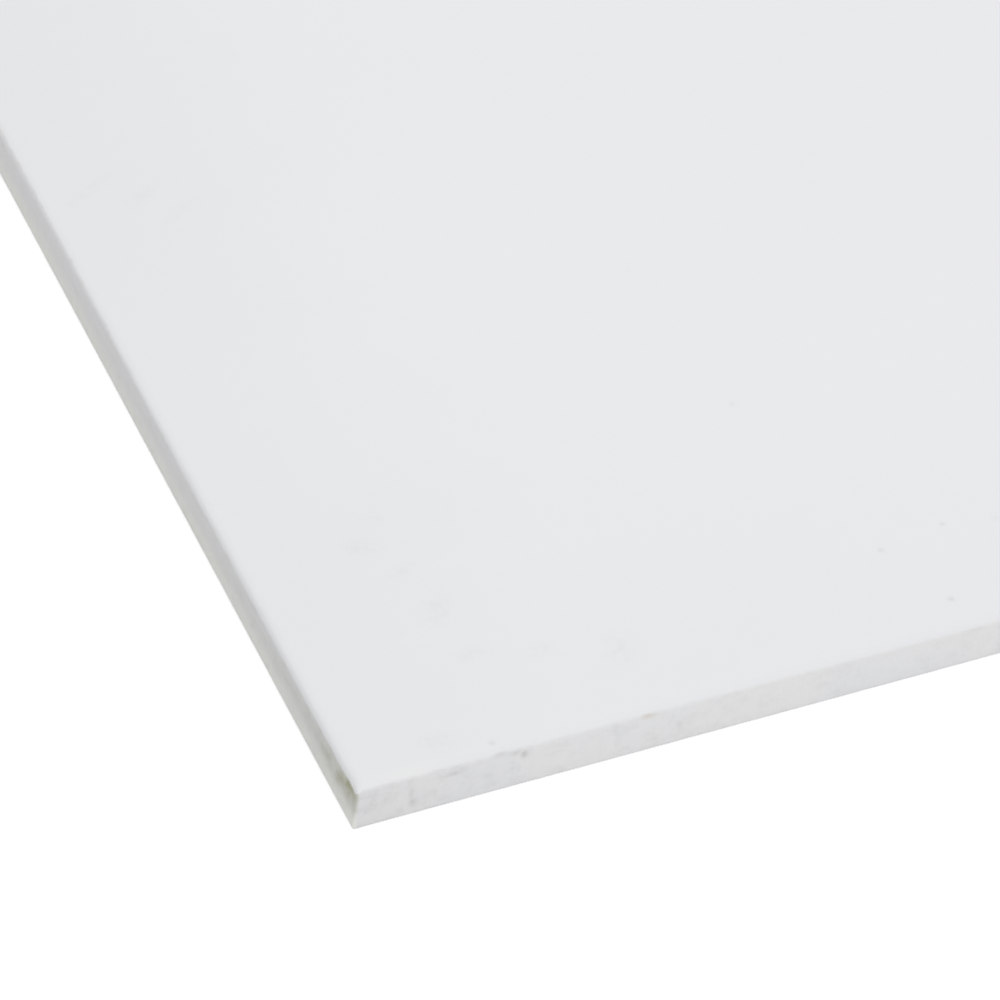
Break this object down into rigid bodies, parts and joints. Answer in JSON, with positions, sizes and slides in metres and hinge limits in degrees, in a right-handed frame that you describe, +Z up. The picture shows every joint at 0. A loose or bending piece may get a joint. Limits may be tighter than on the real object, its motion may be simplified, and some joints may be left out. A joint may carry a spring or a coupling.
{
  "type": "pvc sheet",
  "caption": "Flat rectangular sheet of white matt foamed PVC with sawn, lightly eased edges, for cladding, signs and model making.",
  "frame": {"origin": "middle of the underside, the face that the sheet lies on", "axes": "+X along the 1000 mm length, +Y across the 500 mm width, +Z up through the thickness to the top face"},
  "size_m": [1, 0.5, 0.005],
  "materials": {
    "white_pvc": "matt, very slightly cool white, with a finely grained skin and duller sawn edges"
  },
  "bodies": {
    "root": {"pvc_sheet": "white_pvc"}
  },
  "joints": []
}
